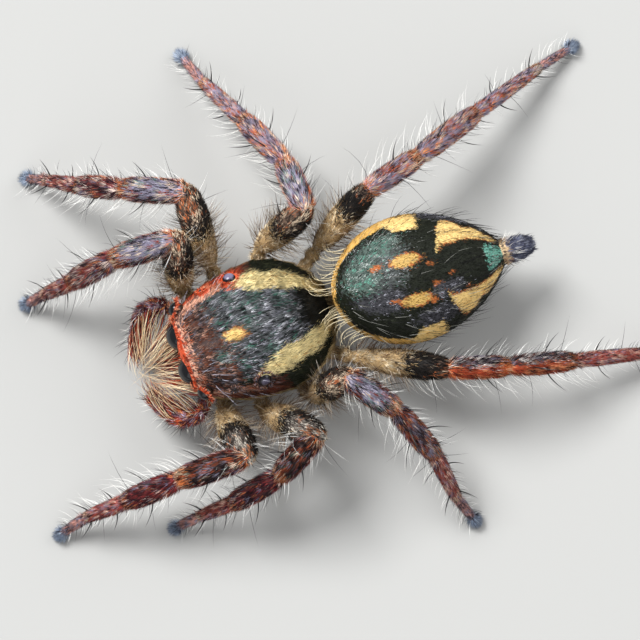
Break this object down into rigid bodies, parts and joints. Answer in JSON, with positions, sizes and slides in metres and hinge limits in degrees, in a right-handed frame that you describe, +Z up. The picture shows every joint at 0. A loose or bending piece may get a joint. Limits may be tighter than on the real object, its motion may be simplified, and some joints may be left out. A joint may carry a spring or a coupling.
{
  "type": "jumping spider, life-size still model",
  "caption": "Life-size still model of a jumping spider: high square shield with eyes at its front, egg-shaped abdomen, bristly legs spread in a standing pose.",
  "frame": {"origin": "on the floor, at the middle of the model's box", "axes": "the spider faces -Y, its left side is +X, +Z is up"},
  "size_m": [0.0128, 0.0154, 0.0031],
  "materials": {
    "carapace": "short flat fur, dark with a lilac and green sheen, cream side bands and rust-red brows",
    "abdomen": "short flat fur, black with green scales and cream-yellow bands and spots",
    "leg": "streaked rust, cream and purple-black fur, pale brown at the roots",
    "palp": "rust-orange fur with a long cream fringe",
    "underside": "thin pale-brown hair over smooth skin",
    "chelicera": "smooth dark brown",
    "spinneret": "short grey-blue fur",
    "eye": "clear polished dome over a dark ground"
  },
  "bodies": {
    "root": {"carapace": "carapace", "sternum": "underside", "pedicel": "underside", "abdomen": "abdomen", "spinnerets": "spinneret", "eye_am_r": "eye", "eye_am_l": "eye", "eye_al_r": "eye", "eye_al_l": "eye", "eye_pm_r": "eye", "eye_pm_l": "eye", "eye_pl_r": "eye", "eye_pl_l": "eye", "chelicera_r": "chelicera", "chelicera_l": "chelicera", "palp_r": "palp", "palp_l": "palp", "leg_r1_thigh": "leg", "leg_r1_shank": "leg", "leg_l1_thigh": "leg", "leg_l1_shank": "leg", "leg_r2_thigh": "leg", "leg_r2_shank": "leg", "leg_l2_thigh": "leg", "leg_l2_shank": "leg", "leg_r3_thigh": "leg", "leg_r3_shank": "leg", "leg_l3_thigh": "leg", "leg_l3_shank": "leg", "leg_r4_thigh": "leg", "leg_r4_shank": "leg", "leg_l4_thigh": "leg", "leg_l4_shank": "leg"}
  },
  "joints": []
}
